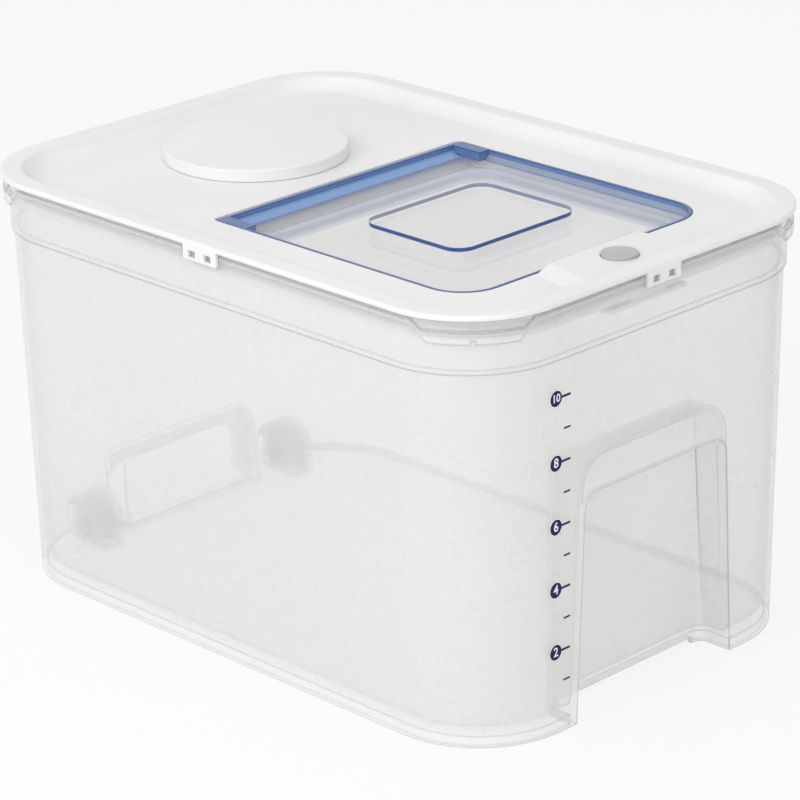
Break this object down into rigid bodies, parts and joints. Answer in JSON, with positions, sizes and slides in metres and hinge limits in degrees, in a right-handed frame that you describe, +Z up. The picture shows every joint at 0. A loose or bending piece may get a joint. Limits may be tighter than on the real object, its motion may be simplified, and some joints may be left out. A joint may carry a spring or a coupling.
{
  "type": "rice bin",
  "caption": "Lidded rice bin: tapered frosted tub with grip recesses and rear wheels, clip-on lid with a clear flip flap, push-button latch and round drying-agent box.",
  "frame": {"origin": "middle of the footprint on the floor", "axes": "+X towards the right side of the bin, -Y towards the front with the tall grip recess and the latch, +Z up"},
  "size_m": [0.2332, 0.33, 0.2002],
  "materials": {
    "frosted_tub": "frosted translucent polypropylene",
    "white_lid": "satin white polypropylene",
    "clear_blue": "clear blue-tinted moulded plastic",
    "grey_button": "satin grey plastic",
    "white_acetal": "matt white",
    "silicone": "pale translucent silicone",
    "wheel_plastic": "matt white",
    "steel": "plain stainless steel"
  },
  "bodies": {
    "tub": {"bin_tub": "frosted_tub", "axle_left": "steel", "axle_right": "steel"},
    "wheel_left": {"wheel_left": "wheel_plastic"},
    "wheel_right": {"wheel_right": "wheel_plastic"},
    "lid": {"lid_cover": "white_lid", "lid_seal": "silicone", "hinge_pin_left": "steel", "hinge_pin_right": "steel", "flap_spring_left": "steel", "flap_spring_right": "steel", "button_spring": "steel", "latch_spring": "steel", "latch_cover": "white_lid", "screw_rear_left": "steel", "screw_rear_right": "steel", "screw_front_left": "steel", "screw_front_right": "steel", "desiccant_basket": "white_lid"},
    "flap": {"flap_panel": "clear_blue", "flap_seal": "silicone"},
    "button": {"push_button": "grey_button"},
    "latch": {"latch_slider": "white_acetal"},
    "cap": {"desiccant_cap": "white_lid", "desiccant_cap_seal": "silicone"}
  },
  "joints": [
    {"name": "lid_lift", "type": "slide", "parent": "tub", "child": "lid", "axis": [0, 0, 1], "range_m": [0, 0.08]},
    {"name": "flap_hinge", "type": "hinge", "parent": "lid", "child": "flap", "pos_m": [0, 0.0267, 0.1909], "axis": [-1, 0, 0], "range_deg": [0, 100]},
    {"name": "button_press", "type": "slide", "parent": "lid", "child": "button", "axis": [0, 0, -1], "range_m": [0, 0.0025], "stiffness_N_per_m": 300, "springref_m": -0.002, "deforming": ["button_spring"]},
    {"name": "latch_slide", "type": "slide", "parent": "lid", "child": "latch", "axis": [0, -1, 0], "range_m": [0, 0.0025], "deforming": ["latch_spring"]},
    {"name": "cap_lift", "type": "slide", "parent": "lid", "child": "cap", "axis": [0, 0, 1], "range_m": [0, 0.03]},
    {"name": "wheel_left_spin", "type": "hinge", "parent": "tub", "child": "wheel_left", "pos_m": [-0.0631, 0.1456, 0.0112], "axis": [1, 0, 0], "continuous": true},
    {"name": "wheel_right_spin", "type": "hinge", "parent": "tub", "child": "wheel_right", "pos_m": [0.0631, 0.1456, 0.0112], "axis": [1, 0, 0], "continuous": true}
  ],
  "couplings": [
    {"joint": "latch_slide", "follows": "button_press", "ratio": 1}
  ]
}
